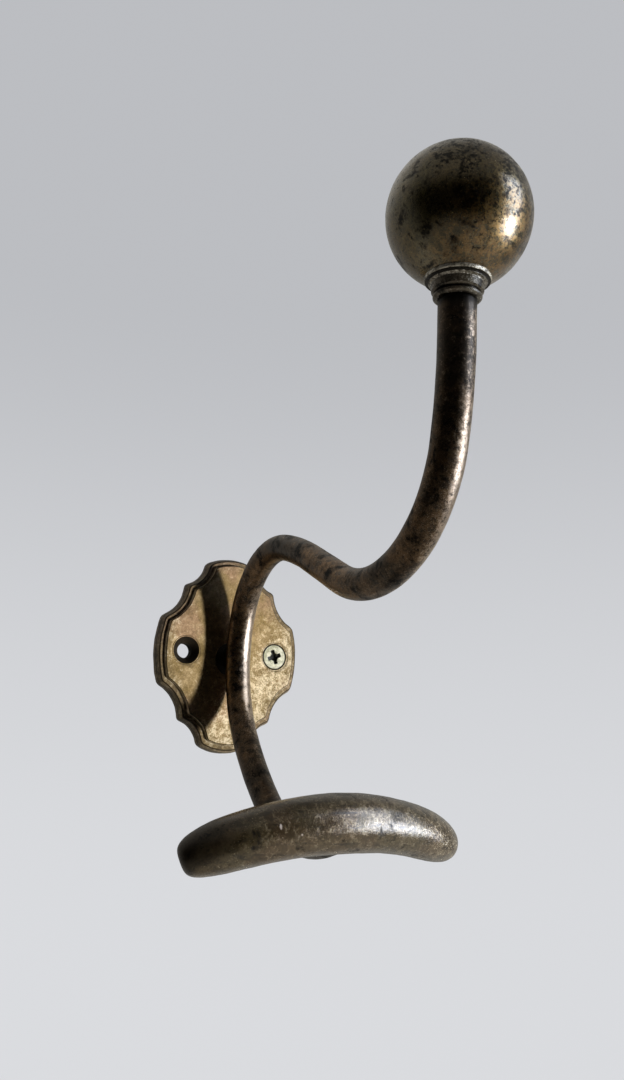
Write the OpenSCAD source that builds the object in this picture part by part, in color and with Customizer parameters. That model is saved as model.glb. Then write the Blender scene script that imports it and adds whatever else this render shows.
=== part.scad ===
// Coat and hat hook: a cast brass arm on a scalloped backplate.
// The arm rises from the plate in a crest, dips into a valley and climbs to a ball knob.
// Below the plate it swings out and carries a drooping crossbar.
// Frame: origin at the centre of the plate's back face. +Y points into the wall, +Z is up,
// and stand-off from the wall is -Y. The arm lies in the plane X = 0.

/* [Backplate] */
// Thickness from the wall to the face
plate_t = 5; // [4:0.1:8]
// Width of the face across the side lobes
plate_w = 44.6; // [43:0.1:56]
// Height of the face across the end lobes
plate_h = 58.8; // [57:0.1:72]
// Height of a side lobe's corners above and below the centre
side_corner_z = 9.1; // [7:0.1:11]
// Crown of a side lobe over its corners
side_crown = 1.2; // [0.6:0.1:3]
// Distance of a diagonal point from the upright centre line
point_x = 13.4; // [12:0.1:15]
// Distance of a diagonal point from the level centre line
point_z = 20; // [18:0.1:22]
// Half the width of an end lobe at its corners
end_corner_x = 6.7; // [5:0.1:8]
// Crown of an end lobe over its corners
end_crown = 1.5; // [0.8:0.1:3]
// Depth of the scallop beside a side lobe
side_scallop = 1.6; // [0.8:0.1:2.4]
// Depth of the scallop beside an end lobe
end_scallop = 1.3; // [0.6:0.1:2]

/* [Rim moulding] */
// How far the sloping flank spreads from the ledge down to the wall
flank_w = 1.05; // [0.6:0.05:1.8]
// Height of the ledge above the wall
ledge_z = 3.7; // [2.6:0.1:3.8]
// Width of the ledge below the face
ledge_w = 1.5; // [0.8:0.1:2.2]
// Slope of the riser between the ledge and the face
rim_draft = 0.25; // [0.05:0.05:0.4]

/* [Screws] */
// Distance between the two screw holes
hole_spacing = 31.2; // [29:0.1:34]
// Diameter of the screw's clearance hole
hole_d = 4.8; // [4.4:0.1:5.4]
// Diameter of the countersink at the face
sink_d = 8.8; // [8.6:0.1:9.4]
// Full angle of the countersink and of the screw's head
sink_angle = 90; // [80:1:100]
// Diameter of the screw's head
screw_head_d = 8.3; // [7.6:0.1:8.4]
// Straight edge around the screw's head
screw_edge = 0.25; // [0.1:0.05:0.3]
// Diameter of the screw's shank
screw_shank_d = 4.2; // [3.6:0.1:4.3]
// Length of the screw from head to tip
screw_len = 32; // [20:1:50]
// Length of the screw's point
screw_point = 6; // [4:0.5:9]
// Span of the cross recess
recess_span = 4.6; // [3.8:0.1:5.2]
// Width of each wing of the recess
recess_wing = 1.3; // [0.8:0.05:1.6]
// Depth of the recess
recess_depth = 2; // [1.4:0.1:2.4]
// Turn of the cross recess from upright
recess_turn = 20; // [0:1:90]

/* [Stem: rod and root] */
// Diameter of the rod in front of the plate
rod_d = 7.8; // [7:0.1:8.6]
// How much thicker each run above that is than the one below it
taper_up = 0.2; // [0.1:0.01:0.24]
// How much thinner each run below that is than the one above it
taper_down = 0.1; // [0.08:0.01:0.14]
// Height of the root boss between the plate and the rod
boss_h = 2.1; // [1:0.1:5]
// Diameter of the root boss where it sits on the plate
boss_d = 11; // [9.5:0.1:14]
// Height of the root above the plate's centre
root_z = -2; // [-4:0.5:4]
// Diameter of the tenon through the plate
tenon_d = 6; // [4:0.1:6.6]
// Diameter of the tenon's riveted end
rivet_d = 8.6; // [7.6:0.1:10]
// Depth of the riveted end
rivet_t = 1.3; // [0.8:0.1:1.8]

// Bend radius in front of the plate
belly_r = 42; // [38:0.5:46]
// Turn above the root
belly_up = 19.6; // [18:0.1:24]
// Turn below the root
belly_down = 39; // [36:0.5:42]

/* [Stem: upper arm] */
// Bend radius of the crest
crest_r = 25.8; // [23:0.1:29]
// Turn of the crest
crest_turn = 84.4; // [80:0.2:88]
// Bend radius of the shoulder after the crest
shoulder_r = 86; // [70:1:100]
// Turn of the shoulder
shoulder_turn = 12; // [9:0.2:14]
// Straight run down to the valley
dip_run = 19.3; // [14:0.1:26]
// Bend radius of the valley
valley_r = 34.6; // [31:0.2:38]
// Turn of the valley
valley_turn = 102.8; // [99:0.2:107]
// Bend radius of the sweep up to the ball
sweep_r = 120; // [100:1:140]
// Turn of the sweep
sweep_turn = 11; // [8:0.2:14]
// Straight run under the collar
neck_run = 10.5; // [4:0.1:20]

/* [Stem: lower arm] */
// Bend radius of the lower arm
shin_r = 104; // [90:1:120]
// Turn of the lower arm
shin_turn = 13.8; // [11:0.1:16]
// Bend radius of the toe under the crossbar
toe_r = 41.5; // [38:0.5:45]
// Turn of the toe
toe_turn = 51.7; // [48:0.1:56]
// Straight end of the stem, which goes into the crossbar
toe_run = 9; // [8.6:0.1:12]

/* [Ball and collar] */
// Diameter of the ball
ball_d = 34.2; // [30:0.1:40]
// Diameter of the collar's flange against the ball
flange_d = 15.6; // [13:0.1:16]
// Thickness of the flange's edge
flange_t = 1; // [0.8:0.1:1.3]
// How far the flange overhangs the cone under it
flange_lip = 1.1; // [0.7:0.1:1.2]
// Diameter of the middle bead
bead_d = 12.1; // [11.6:0.1:13]
// Thickness of the middle bead
bead_t = 2.1; // [1.6:0.1:2.3]
// Depth of the groove between the flange and the bead
groove = 0.5; // [0.3:0.1:0.6]
// Diameter of the waist under the bead
waist_d = 9.6; // [9.2:0.1:9.9]
// Diameter of the lowest ring
ring_d = 11.4; // [10.6:0.1:12]
// Thickness of the lowest ring
ring_t = 1.5; // [1.2:0.1:1.7]
// Height of the collar from the stem to the flange's outer edge
collar_h = 5.5; // [5.3:0.1:7]
// Diameter of the stem's spigot
spigot_d = 5; // [4:0.1:6]
// Depth of the spigot's hole in the ball
spigot_hole = 14; // [10:0.5:18]

/* [Crossbar] */
// Length of the crossbar between the tips of its bowed centre line
bar_l = 77.4; // [68:0.2:92]
// Thickness of the crossbar near its middle
bar_d = 13.8; // [13:0.1:17]
// Radius of the crossbar's bow
bow_r = 71; // [64:1:90]
// Tilt of the bow below level
bow_tilt = 44.5; // [30:0.5:55]
// Turn of the crossbar about the upright
bar_turn = 2.6; // [-4:0.1:4]
// Lean of the crossbar to its left
bar_lean = -1.1; // [-4:0.1:4]
// Height of the crossbar's middle over the stem's end
bar_rise = 2.9; // [1:0.1:3.2]
// How far the crossbar's middle lies in front of the stem's end
bar_ahead = -1.1; // [-2:0.1:2]
// Extra thickness where the stem joins
swell = 0.4; // [0:0.1:1.5]
// Half the length of the thickening
swell_l = 11; // [6:0.5:14]
// Bluntness of the ends: higher is squarer
bluntness = 4; // [2.5:0.1:5]

/* [Fits] */
// Radial clearance of a tenon, spigot or stem end in its hole
fit = 0.08; // [0.05:0.01:0.12]
// Gap left under a riveted end and past a spigot
end_gap = 0.2; // [0.1:0.05:0.4]

/* [Hidden] */
$fn = 96;

over = 1; // how far a cutter runs past what it cuts
lap = 0.1; // how far each run of the rod goes on past both its ends
brass = "#8a7442";
worn_brass = "#b59a5c";
zinc = "#cfc9ae";

// Outset of the rim at the ledge and at the wall, from the face's outline
ledge_out = ledge_w + rim_draft;
foot_out = ledge_out + flank_w;

// Corners of the face's outline, in the upper right quarter
side_corner = [plate_w / 2 - side_crown, side_corner_z];
point = [point_x, point_z];
end_corner = [end_corner_x, plate_h / 2 - end_crown];

// Radius of an arc from half its chord and its rise
function arc_radius(half_chord, rise) = (half_chord * half_chord + rise * rise) / (2 * rise);

side_r = arc_radius(side_corner_z, side_crown);
end_r = arc_radius(end_corner_x, end_crown);

// A scallop is a circle outside the outline through two corners: [x, z, radius]
function scallop(a, b, depth) =
    let (
        chord = b - a,
        half = norm(chord) / 2,
        r = arc_radius(half, depth),
        outward = [chord[1], -chord[0]] / norm(chord),
        centre = (a + b) / 2 + outward * (r - depth)
    )
    [centre[0], centre[1], r];

scallops = [
    scallop(side_corner, point, side_scallop),
    scallop(point, end_corner, end_scallop)
];

sink_h = (sink_d - hole_d) / 2 / tan(sink_angle / 2);
screw_cone_h = (screw_head_d - screw_shank_d) / 2 / tan(sink_angle / 2);
// The head's cone lies on the countersink
head_top = plate_t + screw_edge - (sink_d - screw_head_d) / 2 / tan(sink_angle / 2);

// The stem's centre line, as [stand-off, height, heading], starts in front of the plate
root_s = plate_t + boss_h + rod_d / 2;
belly = [belly_r, -belly_up - belly_down];
belly_top = bend_end(belly_up);
belly_foot = bend_end(-belly_down);

// Runs of the stem from the belly's top and foot: [bend radius or 0, turn (left is positive) or length]
upper_runs = [
    [crest_r, -crest_turn],
    [shoulder_r, -shoulder_turn],
    [0, dip_run],
    [valley_r, valley_turn],
    [sweep_r, sweep_turn],
    [0, neck_run]
];
lower_runs = [
    [shin_r, shin_turn],
    [toe_r, toe_turn],
    [0, toe_run]
];
function upper_d(i) = rod_d + (i + 1) * taper_up;
function lower_d(i) = rod_d - (i + 1) * taper_down;

// Where the belly's bend has turned by a, up (positive) or down from the root
function bend_end(a) =
    [root_s + belly_r * (1 - cos(a)), root_z + belly_r * sin(a), a > 0 ? 90 - a : -90 - a];
function side_of(run) = sign(run[1]);
function bend_centre(p, run) =
    [p[0] - side_of(run) * run[0] * sin(p[2]), p[1] + side_of(run) * run[0] * cos(p[2])];
function after(p, run) =
    run[0] == 0
    ? [p[0] + run[1] * cos(p[2]), p[1] + run[1] * sin(p[2]), p[2]]
    : let (c = bend_centre(p, run), h = p[2] + run[1])
      [c[0] + side_of(run) * run[0] * sin(h), c[1] - side_of(run) * run[0] * cos(h), h];
function pose(start, runs, n) = n == 0 ? start : after(pose(start, runs, n - 1), runs[n - 1]);

// Radius of the riveted end where it stops short of the wall, on the slope of its countersink
rivet_r = rivet_d / 2 - (rivet_d - tenon_d) / 2 * end_gap / rivet_t;

neck_top = pose(belly_top, upper_runs, len(upper_runs));
toe_end = pose(belly_foot, lower_runs, len(lower_runs));

// The ball's centre over the neck: the flange's outer edge lies on the ball
flange_drop = sqrt(pow(ball_d / 2, 2) - pow(flange_d / 2, 2));
ball_over_neck = collar_h + flange_drop;
seat_over_neck = ball_over_neck - ball_d / 2;

bar_r = bar_d / 2;
bow_half = asin(bar_l / 2 / bow_r);
bar_rings = 46;
bar_sides = 28;

// Puts a piece's +Z along the stem's heading at a pose
module at(p) {
    translate([0, -p[0], p[1]]) rotate([90 - p[2], 0, 0]) children();
}

// Puts a piece's +Z out of the wall at a point of the plate
module on_plate(x, z) {
    translate([x, 0, z]) rotate([90, 0, 0]) children();
}

// Carries a piece to all four quarters
module quarters() {
    for (mx = [0, 1], mz = [0, 1])
        mirror([mx, 0, 0]) mirror([0, 0, mz]) children();
}

// A cone or cylinder between two heights, run on past both by e at the same slope
module tapered(r0, r1, h, e) {
    slope = (r1 - r0) / h;
    translate([0, 0, -e]) cylinder(r1 = r0 - slope * e, r2 = r1 + slope * e, h = h + 2 * e);
}

// A lobe's disc: its edge is an arc of the outline, set out by out0 below and out1 above
module lobe(x, z, r, y0, h, out0, out1) {
    on_plate(x, z) translate([0, 0, y0]) tapered(r + out0, r + out1, h, 0);
}

// One step of the plate, from height y0 to y1, with its outline set out by out0 and out1
module rosette_step(y0, y1, out0, out1) {
    h = y1 - y0;
    waist = (point[1] + end_corner[1]) / 2;
    difference() {
        union() {
            intersection() {
                lobe(plate_w / 2 - side_r, 0, side_r, y0, h, out0, out1);
                lobe(side_r - plate_w / 2, 0, side_r, y0, h, out0, out1);
                on_plate(0, 0) translate([0, 0, (y0 + y1) / 2])
                    cube([plate_w + 4 * foot_out, 2 * waist, h + over], center = true);
            }
            for (end = [-1, 1])
                lobe(0, end * (plate_h / 2 - end_r), end_r, y0, h, out0, out1);
        }
        quarters()
            for (s = scallops)
                on_plate(s[0], s[1]) translate([0, 0, y0])
                    tapered(s[2] - out0, s[2] - out1, h, over / 4);
    }
}

module screw_hole(x) {
    on_plate(x, 0) {
        translate([0, 0, -over]) cylinder(d = hole_d, h = plate_t + 2 * over);
        translate([0, 0, plate_t - sink_h]) tapered(hole_d / 2, sink_d / 2, sink_h, over / 4);
    }
}

module tenon_hole() {
    on_plate(0, root_z) {
        translate([0, 0, -over]) cylinder(d = tenon_d + 2 * fit, h = plate_t + 2 * over);
        tapered(rivet_d / 2 + fit, tenon_d / 2 + fit, rivet_t, over / 4);
    }
}

module backplate() {
    color(worn_brass)
        difference() {
            union() {
                rosette_step(0, ledge_z, foot_out, ledge_out);
                rosette_step(ledge_z, plate_t, rim_draft, 0);
            }
            screw_hole(-hole_spacing / 2);
            screw_hole(hole_spacing / 2);
            tenon_hole();
        }
}

// One run of the rod, a bend or a straight, which goes on by e past its start and end poses
module rod_run(p, run, d, e0, e1) {
    if (run[0] == 0) {
        at(p) translate([0, 0, -e0]) cylinder(d = d, h = run[1] + e0 + e1);
    } else {
        c = bend_centre(p, run);
        past = [e0, e1] / run[0] * 180 / PI;
        first = side_of(run) > 0 ? p[2] - 90 - past[0] : p[2] + 90 + run[1] - past[1];
        translate([0, -c[0], c[1]]) rotate([90, 0, -90]) rotate([0, 0, first])
            rotate_extrude(angle = abs(run[1]) + past[0] + past[1])
                translate([run[0], 0]) circle(d = d);
    }
}

module rod() {
    rod_run(belly_foot + [0, 0, 180], belly, rod_d, lap, lap);
    for (i = [0 : len(upper_runs) - 1])
        rod_run(pose(belly_top, upper_runs, i), upper_runs[i], upper_d(i), lap,
            i < len(upper_runs) - 1 ? lap : 0);
    for (i = [0 : len(lower_runs) - 1])
        rod_run(pose(belly_foot, lower_runs, i), lower_runs[i], lower_d(i), lap,
            i < len(lower_runs) - 1 ? lap : 0);
}

// Outline of the root: riveted end, tenon and boss, as [radius, height from the wall]
module root_profile() {
    polygon([
        [0, end_gap],
        [rivet_r, end_gap],
        [tenon_d / 2, rivet_t],
        [tenon_d / 2, plate_t],
        [boss_d / 2, plate_t],
        [boss_d / 2 - boss_h, root_s],
        [0, root_s]
    ]);
}

module stem() {
    color(brass)
        union() {
            rod();
            on_plate(0, root_z) rotate_extrude() root_profile();
            at(neck_top) translate([0, 0, -over])
                cylinder(d = spigot_d, h = over + seat_over_neck + spigot_hole - end_gap);
        }
}

// Outline of the collar from the stem up to the flange: [radius, height]
module collar_profile() {
    flange_z = collar_h - flange_t;
    bead_z = flange_z - groove - bead_t;
    difference() {
        polygon([
            [spigot_d / 2 + fit, 0],
            [ring_d / 2 - ring_t / 3, 0],
            [ring_d / 2, ring_t / 3],
            [ring_d / 2, ring_t * 2 / 3],
            [ring_d / 2 - ring_t / 3, ring_t],
            [waist_d / 2, ring_t],
            [waist_d / 2, bead_z],
            [bead_d / 2, bead_z + bead_t / 4],
            [bead_d / 2, bead_z + bead_t],
            [bead_d / 2 - groove, bead_z + bead_t],
            [flange_d / 2 - flange_lip, flange_z],
            [flange_d / 2, flange_z],
            [flange_d / 2, collar_h],
            [spigot_d / 2 + fit, collar_h]
        ]);
        translate([0, ball_over_neck]) circle(d = ball_d, $fn = 360);
    }
}

module collar() {
    color(worn_brass) at(neck_top) rotate_extrude() collar_profile();
}

module ball_knob() {
    color(brass) at(neck_top) translate([0, 0, ball_over_neck])
        difference() {
            sphere(d = ball_d);
            translate([0, 0, -ball_d / 2 - over]) cylinder(d = spigot_d + 2 * fit, h = spigot_hole + over);
        }
}

// Radius of the crossbar at a share u of its half length
function bar_radius(u) =
    bar_r * pow(1 - pow(abs(u), bluntness), 1 / bluntness) + swell * exp(-pow(u * bar_l / 2 / swell_l, 2));

// Shares of the half length at which the rings stand, closer together towards the tips
function ring_share(i) = sin(90 * (2 * i / bar_rings - 1));

// A point of the crossbar's skin: share u of the half length, angle t around the bar
function bar_point(u, t) =
    let (a = bow_half * u, r = bar_radius(u), out = bow_r + r * cos(t))
    [out * sin(a), r * sin(t), out * cos(a) - bow_r];

module crossbar_skin() {
    rings = [for (i = [1 : bar_rings - 1]) for (k = [0 : bar_sides - 1])
        bar_point(ring_share(i), 360 * k / bar_sides)];
    tips = [bar_point(-1, 0), bar_point(1, 0)];
    last = len(rings);
    walls = [for (i = [0 : bar_rings - 3]) for (k = [0 : bar_sides - 1])
        let (a = i * bar_sides, n = (k + 1) % bar_sides)
        [a + k, a + n, a + bar_sides + n, a + bar_sides + k]];
    caps = [for (k = [0 : bar_sides - 1]) let (n = (k + 1) % bar_sides) [last, n, k]];
    far_ring = last - bar_sides;
    far_caps = [for (k = [0 : bar_sides - 1]) let (n = (k + 1) % bar_sides)
        [last + 1, far_ring + k, far_ring + n]];
    polyhedron(points = concat(rings, tips), faces = concat(walls, caps, far_caps), convexity = 4);
}

module crossbar() {
    color(brass)
        difference() {
            translate([0, -toe_end[0] - bar_ahead, toe_end[1] + bar_rise])
                rotate([0, bar_lean, bar_turn]) rotate([90 - bow_tilt, 0, 0]) crossbar_skin();
            at(toe_end) translate([0, 0, -toe_run])
                cylinder(d = lower_d(2) + 2 * fit, h = toe_run + end_gap);
        }
}

// Cross recess cut down from height top
module cross_recess(top) {
    rotate([0, 0, recess_turn])
        intersection() {
            translate([0, 0, top - recess_depth])
                cylinder(d1 = recess_span * 0.6, d2 = recess_span * 1.3, h = recess_depth + over);
            translate([0, 0, top - recess_depth / 2 + over / 2])
                union() {
                    cube([recess_span, recess_wing, recess_depth + over], center = true);
                    cube([recess_wing, recess_span, recess_depth + over], center = true);
                }
        }
}

module wood_screw() {
    head_z = head_top - screw_edge;
    neck_z = head_z - screw_cone_h;
    tip_z = head_top - screw_len;
    color(zinc) on_plate(hole_spacing / 2, 0)
        difference() {
            rotate_extrude() polygon([
                [0, tip_z],
                [screw_shank_d / 12, tip_z],
                [screw_shank_d / 2, tip_z + screw_point],
                [screw_shank_d / 2, neck_z],
                [screw_head_d / 2, head_z],
                [screw_head_d / 2, head_top],
                [0, head_top]
            ]);
            cross_recess(head_top);
        }
}

backplate();
stem();
collar();
ball_knob();
crossbar();
wood_screw();
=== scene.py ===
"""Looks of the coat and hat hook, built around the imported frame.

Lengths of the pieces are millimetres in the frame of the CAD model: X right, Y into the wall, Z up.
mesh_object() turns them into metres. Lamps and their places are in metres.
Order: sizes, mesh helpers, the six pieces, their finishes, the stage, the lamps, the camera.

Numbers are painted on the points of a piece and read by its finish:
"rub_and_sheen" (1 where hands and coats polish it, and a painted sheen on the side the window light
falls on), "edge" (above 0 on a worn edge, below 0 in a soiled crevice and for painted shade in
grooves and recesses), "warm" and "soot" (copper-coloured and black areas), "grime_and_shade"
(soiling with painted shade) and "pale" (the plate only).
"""

import math

import bpy
import numpy as np
from mathutils import Matrix, Vector, geometry, noise


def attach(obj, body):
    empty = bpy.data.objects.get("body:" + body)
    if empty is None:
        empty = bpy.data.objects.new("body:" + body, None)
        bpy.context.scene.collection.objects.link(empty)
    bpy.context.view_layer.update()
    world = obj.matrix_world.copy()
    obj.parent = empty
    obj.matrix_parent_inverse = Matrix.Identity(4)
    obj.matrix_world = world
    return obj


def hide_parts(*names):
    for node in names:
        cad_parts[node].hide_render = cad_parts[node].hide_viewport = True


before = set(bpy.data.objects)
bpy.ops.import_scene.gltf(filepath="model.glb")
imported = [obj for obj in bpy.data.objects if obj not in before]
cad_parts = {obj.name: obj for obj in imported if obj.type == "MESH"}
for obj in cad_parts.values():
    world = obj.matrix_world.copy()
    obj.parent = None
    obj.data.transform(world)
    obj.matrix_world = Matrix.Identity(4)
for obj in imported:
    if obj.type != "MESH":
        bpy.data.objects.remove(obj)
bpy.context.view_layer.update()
scene = bpy.context.scene

MM = 0.001

# -------------------- sizes, as in the CAD source
PLATE_T, PLATE_W, PLATE_H = 5.0, 44.6, 58.8
SIDE_CORNER_Z, SIDE_CROWN = 9.1, 1.2
POINT_X, POINT_Z = 13.4, 20.0
END_CORNER_X, END_CROWN = 6.7, 1.5
SIDE_SCALLOP, END_SCALLOP = 1.6, 1.3
HOLE_X, HOLE_R, SINK_R, SINK_H = 15.6, 2.4, 4.4, 2.0
ROOT_Z, TENON_R, RIVET_R, RIVET_T = -2.0, 3.0, 4.3, 1.3
ROD_D = 7.8
BELLY = (42.0, 19.6, 39.0)
UPPER = [(25.8, -84.4), (86.0, -12.0), (0.0, 19.3), (34.6, 102.8), (120.0, 11.0), (0.0, 10.5)]
LOWER = [(104.0, 13.8), (41.5, 51.7), (0.0, 9.0)]
BALL_R, COLLAR_H, FLANGE_R, BEAD_R, RING_R = 17.1, 5.5, 7.8, 6.05, 5.7
BAR_L, BAR_R, BOW_R, BOW_TILT, BAR_TURN, BAR_LEAN = 77.4, 6.9, 71.0, 44.5, 2.6, -1.1
BAR_RISE, BAR_AHEAD, SWELL, SWELL_L, BLUNT = 2.9, -1.1, 0.4, 11.0, 4.0
SCREW_LEN, SCREW_R, HEAD_R, HEAD_TOP = 32.0, 2.1, 4.15, 5.0
TAU = 2 * math.pi


# -------------------- mesh helpers
def new_object(name, data):
    obj = bpy.data.objects.new(name, data)
    scene.collection.objects.link(obj)
    return obj


def mesh_object(name, verts, faces, attributes=None):
    """A smooth-shaded object from points in millimetres."""
    mesh = bpy.data.meshes.new(name)
    mesh.from_pydata([tuple(c * MM for c in v) for v in verts], [], faces)
    mesh.validate()
    mesh.polygons.foreach_set("use_smooth", [True] * len(mesh.polygons))
    for key, values in (attributes or {}).items():
        layer = mesh.attributes.new(key, "FLOAT", "POINT")
        layer.data.foreach_set("value", [float(v) for v in values])
    mesh.update()
    return new_object(name, mesh)


def grid_faces(rings, sides, start=0):
    """Quads between closed rings of points that are stored one ring after another."""
    faces = []
    for i in range(rings - 1):
        for k in range(sides):
            n = (k + 1) % sides
            a, b = start + i * sides, start + (i + 1) * sides
            faces.append((a + k, a + n, b + n, b + k))
    return faces


def end_caps(rings, sides):
    """The first and the last ring as faces."""
    top = (rings - 1) * sides
    return [tuple(reversed(range(sides))), tuple(range(top, top + sides))]


def turned_round(faces):
    """The faces with their fronts and backs exchanged."""
    return [tuple(reversed(f)) for f in faces]


def smoothstep(a, b, x):
    """0 at a, 1 at b, and a smooth rise between them. a may be the larger one."""
    t = min(max((x - a) / (b - a), 0.0), 1.0)
    return t * t * (3 - 2 * t)


def bell(x, centre, width):
    """1 at the centre, fading within about `width` on both sides."""
    return math.exp(-((x - centre) / width) ** 2)


def wobble(p, size, seed):
    """Smooth noise between about -1 and 1 with features of about `size` millimetres."""
    q = Vector(p) / size + Vector((seed * 7.31, seed * 3.17, seed * 5.77))
    return noise.noise(q) + 0.5 * noise.noise(q * 2.1) + 0.25 * noise.noise(q * 4.3)


NEARLY_STRAIGHT = 1.55  # half the angle of a corner, in radians


def round_corners(points, radii, steps):
    """A polyline with its inner corners rounded. Also gives, for each point, up to +1 on a
    convex arc (a right turn), down to -1 in a concave one and 0 on a straight."""
    out, kind = [points[0]], [0.0]
    for i in range(1, len(points) - 1):
        a, b, c = (np.array(points[j], float) for j in (i - 1, i, i + 1))
        u, v = (a - b) / np.linalg.norm(a - b), (c - b) / np.linalg.norm(c - b)
        half = math.acos(max(-1.0, min(1.0, float(u @ v)))) / 2
        if radii[i] <= 0 or half > NEARLY_STRAIGHT:
            out.append(tuple(b))
            kind.append(0.0)
            continue
        run = radii[i] / math.tan(half)
        turn = u[0] * v[1] - u[1] * v[0]
        p0, p1 = b + u * run, b + v * run
        for s in range(steps + 1):
            t = s / steps
            q = (1 - t) ** 2 * p0 + 2 * t * (1 - t) * b + t * t * p1
            out.append(tuple(q))
            kind.append(math.copysign(1.0, turn) * math.sin(math.pi * t))
    out.append(points[-1])
    kind.append(0.0)
    return out, kind


# -------------------- the arm's centre line
# A pose is (stand-off from the wall, height, heading in degrees). A run is (bend radius, turn in
# degrees), or (0, length) where it is straight.
STEP = 0.8


def along(pose, radius, amount):
    """The pose that a run leads to."""
    s, z, h = pose
    if radius == 0:
        r = math.radians(h)
        return (s + amount * math.cos(r), z + amount * math.sin(r), h)
    if amount == 0:
        return pose
    sign = 1.0 if amount > 0 else -1.0
    r0, r1 = math.radians(h), math.radians(h + amount)
    cs, cz = s - sign * radius * math.sin(r0), z + sign * radius * math.cos(r0)
    return (cs + sign * radius * math.sin(r1), cz - sign * radius * math.cos(r1), h + amount)


def walk(pose, runs):
    """Poses along a chain of runs, about STEP millimetres apart."""
    poses = []
    for radius, amount in runs:
        length = amount if radius == 0 else abs(math.radians(amount)) * radius
        count = max(2, int(round(length / STEP)))
        for i in range(count):
            poses.append(along(pose, radius, amount * (i / count)))
        pose = along(pose, radius, amount)
    poses.append(pose)
    return poses


# the rod's middle touches the boss at ROOT_S; the belly bends away from there both ways
BOSS_T = 2.1
ROOT_S = PLATE_T + BOSS_T + ROD_D / 2
BELLY_R, BELLY_UP, BELLY_DOWN = BELLY
low = math.radians(-BELLY_DOWN)
foot_pose = (ROOT_S + BELLY_R * (1 - math.cos(low)), ROOT_Z + BELLY_R * math.sin(low), -90 + BELLY_DOWN)
upward = walk((foot_pose[0], foot_pose[1], foot_pose[2] + 180), [(BELLY_R, -BELLY_UP - BELLY_DOWN)] + UPPER)
downward = walk(foot_pose, LOWER)
neck_pose, toe_pose = upward[-1], downward[-1]
centre_line = [(s, z, h + 180) for s, z, h in reversed(downward[1:])] + upward
NECK_AXIS = (Matrix.Translation((0, -neck_pose[0], neck_pose[1]))
             @ Matrix.Rotation(math.radians(90 - neck_pose[2]), 4, "X"))
FLANGE_DROP = math.sqrt(BALL_R ** 2 - FLANGE_R ** 2)
BALL_HEIGHT = COLLAR_H + FLANGE_DROP  # the ball's centre, from the neck's end


def placed(matrix, points):
    return [tuple(matrix @ Vector(p)) for p in points]


def circle(r, h, sides):
    """Points of a level ring."""
    angles = [TAU * k / sides for k in range(sides)]
    return [(r * math.cos(a), r * math.sin(a), h) for a in angles]


def lathe(profile, sides, matrix):
    """Points and faces of a turned piece; profile is (radius, height) from its bottom up."""
    verts = [p for r, h in profile for p in circle(r, h, sides)]
    faces = grid_faces(len(profile), sides) + end_caps(len(profile), sides)
    return placed(matrix, verts), faces


def poles(verts, rings, sides, first_point, last_point):
    """Closes a stack of rings with a point at each end. Gives the two fans of triangles."""
    first, last, top = len(verts), len(verts) + 1, (rings - 1) * sides
    verts += [first_point, last_point]
    return ([(first, (k + 1) % sides, k) for k in range(sides)]
            + [(last, top + k, top + (k + 1) % sides) for k in range(sides)])


# -------------------- arm
# the rod's radius, at distances from the toe, from the foot of the belly and before the collar
TOE_RADII = [(0, 3.76), (20, 3.8), (34, 3.98)]
FOOT_RADII = [(0, 4.04), (26, 4.0), (62, 3.98), (98, 4.08), (135, 4.28)]
NECK_RADII = [(30, 4.5), (0, 4.58)]
ARM_SIDES = 44
BOSS_PROFILE = [  # radius, and height above the plate
    (5.38, 0), (5.5, 0.12), (5.5, 0.45), (5.38, 0.62), (4.95, 0.85), (4.5, 1.25), (4.15, 1.75), (3.9, 2.4),
    (3.75, 3.2), (3.62, 4.2)]


def arm_paint(u, foot, total, right, front, up):
    """rub_and_sheen, warm and edge of a point: u along the rod, and where the point faces.
    Bare metal shows where hands and coats polish it: the room side of each bend. Its weight on the
    right side, towards the window, is a painted sheen where the light falls."""
    belly, crest, valley, sweep = foot + 30, foot + 66, foot + 112, foot + 118
    neck = smoothstep(foot + 95, foot + 150, u) * (1 - 0.5 * smoothstep(total - 42, total - 14, u))
    in_belly = bell(u, belly, 34)
    # painted sheen: the bare metal leans to the right side, where the window light falls
    value = 0.85 * neck * smoothstep(-0.1, 0.9, right * 0.9 + front * 0.4)
    value += 0.95 * in_belly * smoothstep(0.1, 0.95, right * 0.75 + front * 0.6)
    value += 0.65 * bell(u, valley, 28) * smoothstep(-0.1, 0.8, -up * 0.5 + right * 0.7)
    value += 0.35 * bell(u, crest, 22) * smoothstep(0.2, 0.95, up)
    value += 0.3 * (1 - smoothstep(0, foot + 5, u)) * smoothstep(0.2, 0.9, right)
    warm = max(in_belly, 0.6 * bell(u, total - 45, 22), 0.9 * bell(u, sweep, 24))
    # dirt gathers next to the collar and the bar
    crevice = bell(u, total, 2.2) + bell(u, 0, 14) * 0.7
    return min(value, 1.0), warm, -min(crevice, 1.0)


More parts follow.
